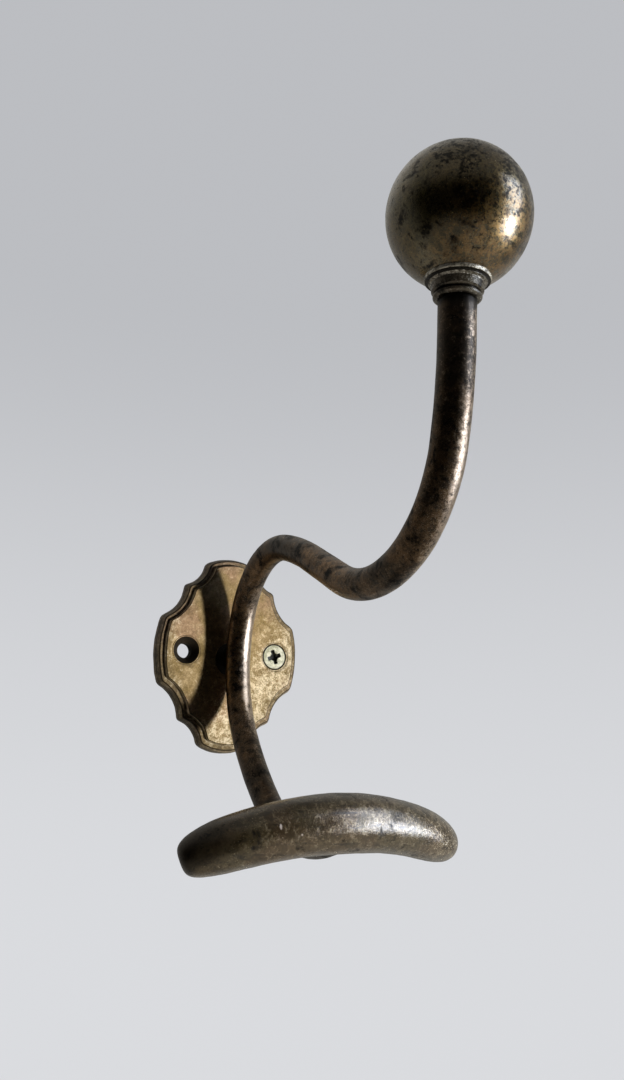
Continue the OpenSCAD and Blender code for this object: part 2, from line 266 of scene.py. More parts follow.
def build_arm():
    lengths = [0.0]
    for a, b in zip(centre_line, centre_line[1:]):
        lengths.append(lengths[-1] + math.hypot(b[0] - a[0], b[1] - a[1]))
    total = lengths[-1]
    foot = lengths[len(downward) - 1]
    widths = (TOE_RADII + [(foot + at, r) for at, r in FOOT_RADII]
              + [(total - before, r) for before, r in NECK_RADII])
    knots, radii = zip(*widths)
    verts, rub_and_sheen, edge, warm = [], [], [], []
    for u, (s, z, h) in zip(lengths, centre_line):
        r0 = float(np.interp(u, knots, radii))
        # a ring has two axes: the side (+X) and out (left of the heading, in the plane of the arm)
        a = math.radians(h)
        out = (-math.sin(a), math.cos(a))
        for k in range(ARM_SIDES):
            t = TAU * k / ARM_SIDES
            dx, dn = math.cos(t), math.sin(t)
            base = (dx * r0, -(s + out[0] * dn * r0), z + out[1] * dn * r0)
            r = min(r0 - 0.08 + 0.06 * wobble(base, 9.0, 1) + 0.012 * wobble(base, 3.2, 2), r0)
            verts.append((dx * r, -(s + out[0] * dn * r), z + out[1] * dn * r))
            values = arm_paint(u, foot, total, dx, out[0] * dn, out[1] * dn)
            for channel, value in zip((rub_and_sheen, warm, edge), values):
                channel.append(value)
    faces = grid_faces(len(centre_line), ARM_SIDES) + end_caps(len(centre_line), ARM_SIDES)
    # root: riveted end, tenon and boss, which flares into the rod
    rivet_low = 0.2
    end_r = RIVET_R - (RIVET_R - TENON_R) * rivet_low / RIVET_T
    profile = [(0.4, rivet_low), (end_r - 0.25, rivet_low), (end_r, 0.28), (TENON_R, RIVET_T), (TENON_R, PLATE_T),
               *((r, PLATE_T + h) for r, h in BOSS_PROFILE), (3.4, ROOT_S - 0.6), (1.0, ROOT_S)]
    matrix = Matrix.Translation((0, 0, ROOT_Z)) @ Matrix.Rotation(math.pi / 2, 4, "X")
    root_verts, root_faces = lathe(profile, 72, matrix)
    # spigot in the collar and ball
    ball_low = BALL_HEIGHT - BALL_R
    spigot_verts, spigot_faces = lathe(
        [(2.45, -1.0), (2.45, ball_low + 13.6), (2.2, ball_low + 13.8)], 48, NECK_AXIS)
    for more_verts, more_faces, darkening in ((root_verts, root_faces, -0.8), (spigot_verts, spigot_faces, 0.0)):
        n = len(verts)
        verts += more_verts
        faces += [tuple(n + i for i in f) for f in more_faces]
        rub_and_sheen += [0.1] * len(more_verts)
        edge += [darkening] * len(more_verts)
        warm += [0.0] * len(more_verts)
    return mesh_object("arm", verts, faces, {"rub_and_sheen": rub_and_sheen, "edge": edge, "warm": warm})


# -------------------- collar and ball
COLLAR_SIDES = 112
COLLAR_PROFILE = [  # radius, height and rounding of each corner
    (2.6, 0.0, 0), (5.1, 0.0, 0.2),
    (RING_R - 0.05, 0.4, 0.3), (RING_R, 0.9, 0.3),  # ring
    (5.2, 1.2, 0.1), (5.05, 1.3, 0.1), (5.0, 1.55, 0.1), (5.6, 1.6, 0.1),  # groove
    (BEAD_R, 1.95, 0.3), (BEAD_R + 0.06, 3.3, 0.5), (BEAD_R + 0.05, 3.75, 0.3),  # barrel
    (6.75, 4.08, 0.1), (6.78, 4.25, 0.1), (7.05, 4.5, 0.1), (FLANGE_R - 0.22, 4.5, 0.25),  # flare and groove
    (FLANGE_R - 0.02, 4.8, 0.3), (FLANGE_R, 5.2, 0.2), (FLANGE_R - 0.1, COLLAR_H + 0.02, 0.2),  # flange
    (FLANGE_R - 0.7, COLLAR_H + 0.35, 0.1), (2.6, COLLAR_H + 0.35, 0)]


def collar_wear_and_shade(r, h, curve):
    """Painted black shade in the two grooves, a little worn on the flare and bare brass along the flange's rim;
    elsewhere worn on convex arcs and painted shade in concave ones.
    """
    if 4.2 < h < 4.52 and r < FLANGE_R - 0.3 or 1.2 < h < 1.6 and r < 5.5:
        return -1.0
    if 3.6 < h < 4.2:
        return 0.3
    if r > FLANGE_R - 0.25 and h > 4.45:
        return 0.42
    return curve * 0.5


def build_ferrule():
    profile, curves = round_corners([p[:2] for p in COLLAR_PROFILE], [p[2] for p in COLLAR_PROFILE], 4)
    wear_and_shade = [collar_wear_and_shade(r, h, curve) for (r, h), curve in zip(profile, curves)]
    # the flange's top lies under the ball: it follows the sphere
    under_ball = [BALL_HEIGHT - math.sqrt(BALL_R ** 2 - r ** 2) + 0.05 for r, _ in profile]
    profile = [(r, min(h, limit)) for (r, h), limit in zip(profile, under_ball)]
    verts, faces = lathe(profile, COLLAR_SIDES, NECK_AXIS)
    edge = [value for value in wear_and_shade for _ in range(COLLAR_SIDES)]
    edge = [e + 0.35 * wobble(v, 2.2, 5) if e > 0.3 else e for e, v in zip(edge, verts)]
    return mesh_object("ferrule", verts, faces, {"edge": edge, "rub_and_sheen": [0.3] * len(verts)})


def dent(distance, size, depth, reach):
    """Depth of a small round knock at a distance from its middle."""
    return depth * math.exp(-(distance / size) ** 2) if distance < size * reach else 0.0


KNOCKS = [  # direction from the ball's centre, size and depth
    (Vector((0.35, -0.75, 0.55)).normalized(), 0.9, 0.07), (Vector((-0.2, -0.9, -0.35)).normalized(), 0.7, 0.06),
    (Vector((0.8, 0.1, 0.6)).normalized(), 1.1, 0.08), (Vector((-0.7, 0.5, 0.2)).normalized(), 0.9, 0.06),
    (Vector((0.1, -0.3, 0.94)).normalized(), 1.0, 0.08)]
BALL_RINGS, BALL_SIDES = 119, 200


def build_knob():
    tilts = [math.pi * i / (BALL_RINGS + 1) for i in range(1, BALL_RINGS + 1)]
    verts = [p for a in tilts for p in circle(math.sin(a), -math.cos(a), BALL_SIDES)]
    faces = grid_faces(BALL_RINGS, BALL_SIDES) + poles(verts, BALL_RINGS, BALL_SIDES, (0, 0, -1), (0, 0, 1))
    matrix = NECK_AXIS @ Matrix.Translation((0, 0, BALL_HEIGHT))
    out, rub_and_sheen, warm, soot = [], [], [], []
    for v in (Vector(p) for p in verts):
        p = v * BALL_R
        r = BALL_R - 0.03 + 0.035 * wobble(p, 9.0, 3) + 0.012 * wobble(p, 2.5, 4)
        for direction, size, depth in KNOCKS:
            r -= dent((v - direction).length * BALL_R, size, depth, 2)
        out.append(tuple(v * min(r, BALL_R)))
        n = matrix.to_3x3() @ v
        # painted sheen: the bare share grows towards the right front, where the window light falls
        rub_and_sheen.append(smoothstep(0.1, 0.95, 0.75 * n.x - 0.45 * n.y - 0.2 * n.z))
        warm.append(smoothstep(0.50, 0.92, 0.09 * n.x - 0.66 * n.y - 0.745 * n.z))
        soot.append(smoothstep(0.05, 0.85, 0.15 * n.x - 0.85 * n.y + 0.40 * n.z))
    return mesh_object("knob", placed(matrix, out), faces,
                       {"rub_and_sheen": rub_and_sheen, "edge": [0.0] * len(out), "warm": warm, "soot": soot})


# -------------------- crossbar
BAR_NICKS = [  # place, size and depth
    (Vector((-17.5, -89.0, -47.5)), 1.4, 0.35), (Vector((-10.0, -90.5, -50.0)), 0.8, 0.2),
    (Vector((13.0, -86.5, -42.0)), 1.0, 0.12), (Vector((26.0, -84.0, -44.0)), 1.3, 0.12),
    (Vector((-30.0, -84.0, -50.0)), 1.2, 0.15)]
BAR_RINGS, BAR_SIDES = 189, 72
BAR_ANGLE = math.asin(BAR_L / 2 / BOW_R)  # half of the bow


def bar_radius(u):
    """Radius of the section; u runs from -1 to 1 along the bow."""
    body = BAR_R * max(0.0, 1 - abs(u) ** BLUNT) ** (1 / BLUNT)
    return body + SWELL * math.exp(-(u * BAR_L / 2 / SWELL_L) ** 2) * max(0.0, 1 - abs(u) ** 8)


def bar_point(u, t, r):
    """A point of the straightly placed bar: t turns round the section."""
    a, reach = BAR_ANGLE * u, BOW_R + r * math.cos(t)
    return Vector((reach * math.sin(a), r * math.sin(t), reach * math.cos(a) - BOW_R))


def bar_paint(p, n):
    """rub_and_sheen and edge of a point that faces n."""
    # worn on the upper front; the share towards the right end, on the right end's side and in the lit band
    # underneath is painted sheen
    worn = smoothstep(0.0, 0.95, 0.75 * n.z - 0.35 * n.y + 0.25 * n.x)
    worn *= 0.55 + 0.45 * smoothstep(-25, 20, p.x)
    worn += 0.9 * smoothstep(14, 37, p.x) * smoothstep(-0.3, 0.6, 0.8 * n.x - 0.5 * n.y)
    worn += 0.45 * smoothstep(0.1, 0.8, -0.7 * n.y - 0.6 * n.z) * smoothstep(-42, -18, p.x)
    # dirt round the arm's joint, and painted shade on the left end, away from the light
    darkening = 0.9 * bell(math.hypot(p.x, (p.y + 75.0) * 0.9, (p.z + 50.0) * 0.9), 0, 5.4)
    painted_dark_end = smoothstep(-20, -37, p.x + 3.0 * wobble(p, 9.0, 9)) * smoothstep(-0.2, 0.5, 0.8 * n.z - 0.6 * n.y)
    painted_dark_end = max(painted_dark_end, smoothstep(-34, -39, p.x))
    return min(1.3, worn), -min(1.0, darkening + 0.65 * painted_dark_end)


def build_bar():
    matrix = (Matrix.Translation((0, -toe_pose[0] - BAR_AHEAD, toe_pose[1] + BAR_RISE))
              @ Matrix.Rotation(math.radians(BAR_TURN), 4, "Z") @ Matrix.Rotation(math.radians(BAR_LEAN), 4, "Y")
              @ Matrix.Rotation(math.radians(90 - BOW_TILT), 4, "X"))
    verts, rub_and_sheen, edge = [], [], []
    for i in range(1, BAR_RINGS + 1):
        u = math.sin(math.pi / 2 * (2 * i / (BAR_RINGS + 1) - 1))
        axis = matrix @ bar_point(u, 0, 0.0)
        for k in range(BAR_SIDES):
            t = TAU * k / BAR_SIDES
            base = matrix @ bar_point(u, t, bar_radius(u))
            shrink = 0.07 - 0.09 * wobble(base, 11.0, 6) - 0.04 * wobble(base, 4.0, 7)
            shrink -= 0.018 * wobble(base, 1.6, 8)
            for centre, size, depth in BAR_NICKS:
                shrink += dent((base - centre).length, size, depth, 2.2)
            verts.append(tuple(matrix @ bar_point(u, t, max(bar_radius(u) - max(shrink, 0.0), 0.05))))
            worn, dirt_and_shade = bar_paint(base, (base - axis).normalized())
            rub_and_sheen.append(worn)
            edge.append(dirt_and_shade)
    ends = [tuple(matrix @ bar_point(u, 0, 0.0)) for u in (-1, 1)]
    faces = grid_faces(BAR_RINGS, BAR_SIDES) + poles(verts, BAR_RINGS, BAR_SIDES, *ends)
    rub_and_sheen += [0.4, 0.6]
    edge += [0.0, 0.0]
    return mesh_object("bar", verts, turned_round(faces), {"rub_and_sheen": rub_and_sheen, "edge": edge})


# -------------------- backplate
def arc_radius(half_chord, rise):
    """Radius of an arc from half of its chord and its rise."""
    return (half_chord ** 2 + rise ** 2) / (2 * rise)


def scallop(a, b, depth):
    """Centre and radius of a hollow arc between two corners."""
    a, b = np.array(a), np.array(b)
    chord = b - a
    length = float(np.linalg.norm(chord))
    r = arc_radius(length / 2, depth)
    outward = np.array([chord[1], -chord[0]]) / length
    return (a + b) / 2 + outward * (r - depth), r


SIDE_CORNER = (PLATE_W / 2 - SIDE_CROWN, SIDE_CORNER_Z)
POINT = (POINT_X, POINT_Z)
END_CORNER = (END_CORNER_X, PLATE_H / 2 - END_CROWN)
SIDE_R = arc_radius(SIDE_CORNER_Z, SIDE_CROWN)
END_R = arc_radius(END_CORNER_X, END_CROWN)
QUARTER = [  # centre, radius, sign of the outset on the radius
    (np.array([PLATE_W / 2 - SIDE_R, 0.0]), SIDE_R, 1.0),
    (*scallop(SIDE_CORNER, POINT, SIDE_SCALLOP), -1.0),
    (*scallop(POINT, END_CORNER, END_SCALLOP), -1.0),
    (np.array([0.0, PLATE_H / 2 - END_R]), END_R, 1.0),
]


def meet(c0, r0, c1, r1, near):
    """The crossing of two circles that lies next to a point."""
    d = c1 - c0
    length = float(np.linalg.norm(d))
    a = (r0 ** 2 - r1 ** 2 + length ** 2) / (2 * length)
    h = math.sqrt(max(r0 ** 2 - a ** 2, 0.0))
    mid = c0 + a * d / length
    side = np.array([-d[1], d[0]]) / length * h
    return min((mid + side, mid - side), key=lambda p: float(np.linalg.norm(p - np.array(near))))


ARC_POINTS = (30, 44, 36, 24)
BLUR_REACH = 6


def outline(out, soften):
    """The face's outline set out by `out`, as a closed loop of points (x, z) with softened corners."""
    arcs = [(c, r + sign * out) for c, r, sign in QUARTER]
    ends = [np.array([arcs[0][0][0] + arcs[0][1], 0.0])]
    for (c0, r0), (c1, r1), near in zip(arcs, arcs[1:], (SIDE_CORNER, POINT, END_CORNER)):
        ends.append(meet(c0, r0, c1, r1, near))
    ends.append(np.array([0.0, arcs[3][0][1] + arcs[3][1]]))
    quarter = []
    for (c, r), a, b, n in zip(arcs, ends, ends[1:], ARC_POINTS):
        t0 = math.atan2(*(a - c)[::-1])
        t1 = math.atan2(*(b - c)[::-1])
        turn = (t1 - t0 + math.pi) % (2 * math.pi) - math.pi
        for i in range(n):
            t = t0 + turn * i / n
            quarter.append(c + r * np.array([math.cos(t), math.sin(t)]))
    quarter = np.array(quarter + [ends[-1]])
    left = quarter[::-1][1:] * np.array([-1, 1])
    upper = np.vstack([quarter, left])
    lower = upper[::-1][1:-1] * np.array([1, -1])
    loop = np.vstack([upper, lower])
    shifts = range(-BLUR_REACH, BLUR_REACH + 1)
    weights = np.array([math.exp(-(k / (1.6 * soften)) ** 2) for k in shifts])
    weights /= weights.sum()
    return sum(w * np.roll(loop, k, axis=0) for w, k in zip(weights, shifts))


def inside(loop, x, z):
    """Whether a point lies inside a loop: an odd count of edges passes to its right."""
    hit = False
    for (x0, z0), (x1, z1) in zip(loop, np.roll(loop, -1, axis=0)):
        if (z0 > z) != (z1 > z) and x < (x1 - x0) * (z - z0) / (z1 - z0) + x0:
            hit = not hit
    return hit


RIM_PROFILE = [  # set-out from the face's outline, height from the wall and rounding of each corner
    (2.66, 0.0, 0), (2.8, 0.12, 0.1), (2.56, 1.7, 1.4), (1.78, 3.68, 0.55), (0.34, 3.62, 0.2),
    (0.0, PLATE_T, 0.36), (-1.4, PLATE_T, 0)]
FACE_GRID = 1.15  # spacing of the points that carry the face's unevenness
HOLE_SIDES = 72
CLEARANCE = 0.08


def rim_grime_and_shade(out, height):
    """Little on the face's edge, painted black shade in the step beside it, and soiling on the flank
    with painted shade that deepens down it to the wall.
    """
    if height > 4.6:
        return 0.15
    return 0.85 if out < 0.5 else 0.62 + 0.33 * smoothstep(3.0, 1.4, height)


def build_plate():
    profile, kind = round_corners([p[:2] for p in RIM_PROFILE], [p[2] for p in RIM_PROFILE], 6)
    verts, rub_and_sheen, edge, grime_and_shade, pale, faces = [], [], [], [], [], []
    loops = [outline(out, 1.0 + 0.5 * max(out, 0)) for out, _ in profile]

    def add_point(x, height, z, rubbed, worn, dirt_and_shade, at=None):
        """Adds a point, painted for where it is (or for `at`). The face is paler to the lower right,
        at its foot and along its left edge, and carries painted shade at the top and left of the middle."""
        verts.append((x, -height, z))
        x, z = at or (x, z)
        lower_right = smoothstep(2.0, 17.0, 0.75 * x - 0.55 * z + 3.0)
        left_edge = smoothstep(-15.5, -20.0, x) * 0.4
        lower = smoothstep(-16.0, -25.0, z) * 0.7
        left = smoothstep(4.0, -8.0, x) * smoothstep(-20.0, -8.0, z)
        # painted shade: darker at the top and to the left of the middle
        dirt_and_shade = min(1.0, dirt_and_shade + 0.16 * max(left, smoothstep(6.0, 20.0, z)))
        rub_and_sheen.append(rubbed)
        edge.append(worn)
        grime_and_shade.append(dirt_and_shade)
        pale.append(max(lower_right, left_edge, lower) * (1 - dirt_and_shade))

    count = len(loops[0])
    for loop, (out, height), value in zip(loops, profile, kind):
        for x, z in loop:
            p = (x, -height, z)
            nudge = 0.10 * wobble(p, 6.0, 11) + 0.04 * wobble(p, 2.0, 12)
            scale = 1 + nudge / math.hypot(x, z) if height > 0.05 else 1
            lift = 0.05 * wobble(p, 5.0, 13) if 0.2 < height < 4.98 else 0.0
            # worn on the rim's convex arcs; its concave ones get painted shade
            worn = value if value <= 0 else value * (0.6 + 0.5 * wobble(p, 3.0, 14))
            top = min(height + lift, PLATE_T)
            add_point(x * scale, top, z * scale, 0.3, worn, rim_grime_and_shade(out, height), at=(x, z))
    faces += grid_faces(len(loops), count)
    holes = []

    def hole(cx, cz, levels):
        """Adds a turned hole. Its levels are (radius, height, edge), from the face to the back;
        an edge below 0 paints shade into it.
        """
        starts = []
        for r, height, worn in levels:
            starts.append(len(verts))
            for x, z, _ in circle(r, 0.0, HOLE_SIDES):
                add_point(cx + x, height, cz + z, 0.2, worn, max(0.0, -worn), at=(cx, cz))
        holes.append((cx, cz, levels[0][0], levels[-1][0], starts))

    # painted shade: the countersinks, the bores and the tenon's hole are black inside
    for side in (-1, 1):
        hole(side * HOLE_X, 0.0, [
            (SINK_R + 0.4, PLATE_T - 0.02, 0.0), (SINK_R + 0.14, PLATE_T - 0.01, 0.15),
            (SINK_R + 0.03, PLATE_T - 0.04, 0.2), (SINK_R - 0.05, PLATE_T - 0.12, -0.9),
            (SINK_R - 0.14, PLATE_T - 0.24, -1), (HOLE_R + 0.12, PLATE_T - SINK_H + 0.08, -1),
            (HOLE_R, PLATE_T - SINK_H - 0.15, -1), (HOLE_R, 0.0, -1)])
    hole(0.0, ROOT_Z, [(TENON_R + CLEARANCE, PLATE_T, -1), (TENON_R + CLEARANCE, RIVET_T, -1),
                       (RIVET_R + CLEARANCE, 0.0, -0.6)])
    n = HOLE_SIDES
    for *_, starts in holes:
        for a, b in zip(starts, starts[1:]):
            faces += [(a + k, b + k, b + (k + 1) % n, a + (k + 1) % n) for k in range(n)]

    def cover(loop_start, front):
        """The flat face or back, with its holes left open."""
        loop = np.array([(verts[loop_start + i][0], verts[loop_start + i][2]) for i in range(count)])
        ids = list(range(loop_start, loop_start + count))
        edges = [(i, (i + 1) % count) for i in range(count)]
        for *_, starts in holes:
            start, base = starts[0 if front else -1], len(ids)
            ids += list(range(start, start + n))
            edges += [(base + k, base + (k + 1) % n) for k in range(n)]
        if front:
            for i in range(-30, 31):
                for j in range(-40, 41):
                    x, z = (i + 0.5 * (j % 2)) * FACE_GRID, j * FACE_GRID
                    if abs(x) > PLATE_W / 2 or abs(z) > PLATE_H / 2 or not inside(loop * 0.975, x, z):
                        continue
                    if any(math.hypot(x - cx, z - cz) < r + 0.5 for cx, cz, r, _, _ in holes):
                        continue
                    dip = 0.025 - 0.03 * max(-1, min(0.8, wobble((x, 0, z), 7.0, 15)))
                    ids.append(len(verts))
                    add_point(x, PLATE_T - dip, z, 0.0, 0.0, 0.0)
        flat = [Vector((verts[i][0], verts[i][2])) for i in ids]
        got, _, tris, origin, _, _ = geometry.delaunay_2d_cdt(flat, edges, [], 0, 1e-6)
        remap = [ids[o[0]] if o else None for o in origin]
        for tri in tris:
            cx = sum(got[i].x for i in tri) / 3
            cz = sum(got[i].y for i in tri) / 3
            in_hole = any(math.hypot(cx - hx, cz - hz) < (r_front if front else r_back)
                          for hx, hz, r_front, r_back, _ in holes)
            face = [remap[i] for i in tri]
            if in_hole or None in face or not inside(loop, cx, cz):
                continue
            a, b, c = (Vector(verts[i]) for i in face)
            faces_room = (b - a).cross(c - a).y < 0
            faces.append(tuple(face) if faces_room == front else tuple(reversed(face)))

    cover((len(loops) - 1) * count, True)
    cover(0, False)
    return mesh_object("rose", verts, faces, {"rub_and_sheen": rub_and_sheen, "edge": edge, "grime_and_shade": grime_and_shade, "pale": pale})


# -------------------- screw
SCREW_SIDES, HEAD_SIDES = 64, 288  # shank and cone; the finer rings of the head's top
SHANK_RINGS, RECESS_RINGS = 420, 74
THREAD_PITCH, THREAD_DEPTH, TIP_L = 1.9, 0.62, 6.0
RECESS_TURN = math.radians(20)
FLAT_R = HEAD_R - 0.3  # where the head's rounded edge ends
RECESS_R = HEAD_R - 0.48


def thread_radius(h, k, tip, neck):
    """Radius of the shank's point k of a ring at height h: a ridge that winds round a tapered core."""
    grow = smoothstep(tip - 0.2, tip + TIP_L, h)
    fade = 1 - smoothstep(neck - 9.0, neck - 7.5, h)
    core = 0.15 + (SCREW_R - 0.15) * min(1.0, (h - tip) / TIP_L + 0.02)
    phase = (h / THREAD_PITCH - k / SCREW_SIDES) % 1.0
    ridge = max(0.0, 1 - abs(phase - 0.5) / 0.22)
    thread = THREAD_DEPTH * fade * (0.35 + 0.65 * grow)
    return max(core - thread * (1 - ridge), core * 0.45)


def recess(x, y):
    """Depth of the cross recess: two wings, a deep middle, and four thin ticks between the wings."""
    c, s = math.cos(-RECESS_TURN), math.sin(-RECESS_TURN)
    u, v = abs(x * c - y * s), abs(x * s + y * c)
    r = math.hypot(x, y)
    depth = 0.0
    for along_wing, across in ((u, v), (v, u)):
        wing = (1 - smoothstep(0.50, 0.74, across)) * (1 - smoothstep(2.15, 2.5, along_wing))
        depth = max(depth, wing * (1.15 - 0.25 * along_wing / 2.3))
    depth = max(depth, 1.7 * (1 - smoothstep(0.9, 1.45, r)))
    tick = 1 - smoothstep(0.05, 0.13, abs(u - v) / 1.41)
    tick *= smoothstep(0.9, 1.1, r) * (1 - smoothstep(2.3, 2.6, r))
    return max(depth, 0.12 * tick)


def build_screw():
    sides, fine = SCREW_SIDES, HEAD_SIDES
    tip = HEAD_TOP - SCREW_LEN
    neck = HEAD_TOP - 0.25 - (HEAD_R - SCREW_R)
    verts = []
    for h in np.linspace(tip, neck, SHANK_RINGS):
        for k in range(sides):
            a, r = TAU * k / sides, thread_radius(h, k, tip, neck)
            verts.append((r * math.cos(a), r * math.sin(a), h))
    faces = grid_faces(SHANK_RINGS, sides)
    faces.append(tuple(reversed(range(sides))))
    # the head's cone and rounded edge
    start = len(verts) - sides
    head = [(HEAD_R - 0.22, HEAD_TOP - 0.42), (HEAD_R - 0.16, HEAD_TOP - 0.3), (HEAD_R - 0.18, HEAD_TOP - 0.14),
            (FLAT_R, HEAD_TOP - 0.03)]
    for r, h in head:
        verts += circle(r, h, sides)
    faces += grid_faces(len(head) + 1, sides, start)
    # its top, with the cross recess pressed in
    base, grid_start = len(verts) - sides, len(verts)
    for j, r in enumerate([FLAT_R] + list(np.linspace(RECESS_R, 0.05, RECESS_RINGS))):
        verts += [(x, y, HEAD_TOP - (0.01 if j == 0 else recess(x, y))) for x, y, _ in circle(r, 0.0, fine)]
    faces += grid_faces(RECESS_RINGS + 1, fine, grid_start)
    verts.append((0, 0, HEAD_TOP - 1.6))
    last = grid_start + RECESS_RINGS * fine
    faces += [(len(verts) - 1, last + k, last + (k + 1) % fine) for k in range(fine)]
    # stitch the coarse ring of the edge to the fine ring at the same radius
    for k in range(sides):
        a, b = base + k, base + (k + 1) % sides
        first, stop = int(round(k * fine / sides)), int(round((k + 1) * fine / sides))
        middle = (first + stop) // 2
        for i in range(first, stop):
            faces.append((grid_start + i % fine, grid_start + (i + 1) % fine, a if i < middle else b))
            if i == middle - 1:
                faces.append((a, b, grid_start + middle % fine))
    # painted shade: black in the recess and in the seam around the head
    edge = [-1.0 if i > base - sides and v[2] < HEAD_TOP - (0.25 if i >= grid_start else 0.1) else 0.0
            for i, v in enumerate(verts)]
    matrix = Matrix.Translation((HOLE_X, 0, 0)) @ Matrix.Rotation(math.pi / 2, 4, "X")
    return mesh_object("screw", placed(matrix, verts), faces, {"edge": edge, "rub_and_sheen": [0.5] * len(verts)})


# -------------------- materials
class Nodes:
    """A material with a Principled shader, and short ways to add and link its nodes."""

    def __init__(self, name):
        self.material = bpy.data.materials.new(name)
        self.material.use_nodes = True
        self.tree = self.material.node_tree
        self.tree.nodes.clear()
        self.output = self.add("ShaderNodeOutputMaterial")
        self.shader = self.add("ShaderNodeBsdfPrincipled")
        self.link(self.shader.outputs["BSDF"], self.output.inputs["Surface"])
        self.coords = self.add("ShaderNodeTexCoord").outputs["Object"]

    def add(self, kind, **settings):
        node = self.tree.nodes.new(kind)
        for key, value in settings.items():
            setattr(node, key, value)
        return node

    def link(self, a, b):
        self.tree.links.new(a, b)

    def feed(self, socket, value):
        """Links a socket, or sets it to a number or a colour."""
        if isinstance(value, bpy.types.NodeSocket):
            self.link(value, socket)
        else:
            socket.default_value = (*value, 1.0) if isinstance(value, tuple) else value

    def put(self, name, value):
        """The same for an input of the Principled shader."""
        self.feed(self.shader.inputs[name], value)

    def noise(self, size, detail=4.0, roughness=0.55, shift=0.0, stretch=None, distortion=0.0):
        """Noise whose features are about `size` millimetres, between 0 and 1."""
        mapping = self.add("ShaderNodeMapping")
        self.link(self.coords, mapping.inputs["Vector"])
        mapping.inputs["Location"].default_value = (shift, shift * 0.37, -shift * 0.61)
        if stretch:
            mapping.inputs["Scale"].default_value = stretch
        node = self.add("ShaderNodeTexNoise")
        self.link(mapping.outputs["Vector"], node.inputs["Vector"])
        for key, number in (("Scale", 1.0 / (size * MM)), ("Detail", detail), ("Roughness", roughness),
                            ("Distortion", distortion)):
            node.inputs[key].default_value = number
        return node.outputs["Fac"]

    def chip_glint(self, centre, size, stretch):
        """A small ragged mark around a point of the piece, in millimetres."""
        shift = self.vector("SUBTRACT", self.coords, tuple(c * MM for c in centre))[0]
        scale = self.vector("MULTIPLY", shift, tuple(1.0 / (c * size * MM) for c in stretch))[0]
        length = self.vector("LENGTH", scale)["Value"]
        ragged = self.sum(length, self.product(self.noise(0.4, 2.0), 0.5))
        return self.ramp(ragged, 1.35, 0.85)

    def vector(self, operation, a, b=None):
        """Vector maths on a socket, with a fixed second vector. Gives the node's outputs."""
        node = self.add("ShaderNodeVectorMath", operation=operation)
        self.link(a, node.inputs[0])
        if b:
            node.inputs[1].default_value = b
        return node.outputs

    def split(self, vector):
        node = self.add("ShaderNodeSeparateXYZ")
        self.link(vector, node.inputs[0])
        return node.outputs

    def attribute(self, name):
        return self.add("ShaderNodeAttribute", attribute_name=name).outputs["Fac"]

    def ramp(self, value, low, high, to_low=0.0, to_high=1.0):
        """A smooth step from to_low at low to to_high at high."""
        node = self.add("ShaderNodeMapRange", interpolation_type="SMOOTHSTEP")
        self.link(value, node.inputs["Value"])
        for key, number in (("From Min", low), ("From Max", high), ("To Min", to_low), ("To Max", to_high)):
            node.inputs[key].default_value = number
        return node.outputs["Result"]

    def math(self, operation, a, b=0.0, clamp=False):
        node = self.add("ShaderNodeMath", operation=operation, use_clamp=clamp)
        self.feed(node.inputs[0], a)
        self.feed(node.inputs[1], b)
        return node.outputs[0]

    def sum(self, a, b, clamp=False):
        return self.math("ADD", a, b, clamp)

    def product(self, a, b, clamp=False):
        return self.math("MULTIPLY", a, b, clamp)

    def less(self, a, b, clamp=False):
        return self.math("SUBTRACT", a, b, clamp)

    def mix(self, factor, a, b):
        """Colour a where the factor is 0, b where it is 1."""
        node = self.add("ShaderNodeMix", data_type="RGBA")
        for index, value in ((0, factor), (6, a), (7, b)):
            self.feed(node.inputs[index], value)
        return node.outputs[2]

    def bump(self, height, distance, strength, normal=None):
        node = self.add("ShaderNodeBump")
        node.inputs["Strength"].default_value = strength
        node.inputs["Distance"].default_value = distance * MM
        self.link(height, node.inputs["Height"])
        if normal is not None:
            self.link(normal, node.inputs["Normal"])
        return node.outputs["Normal"]


# soiling, also the colour of the plate's painted shade
GRIME_AND_SHADE = (0.115, 0.100, 0.080)
# near white: the painted glint of the crossbar's nicks
CHIP_GLINT_TONE = (0.98, 0.86, 0.80)
GRAIN_H, PITS_H, COAT_H = 0.13, 0.16, 0.12  # heights of the reliefs


def darker(colour, share=0.3):
    return tuple(c * share for c in colour)


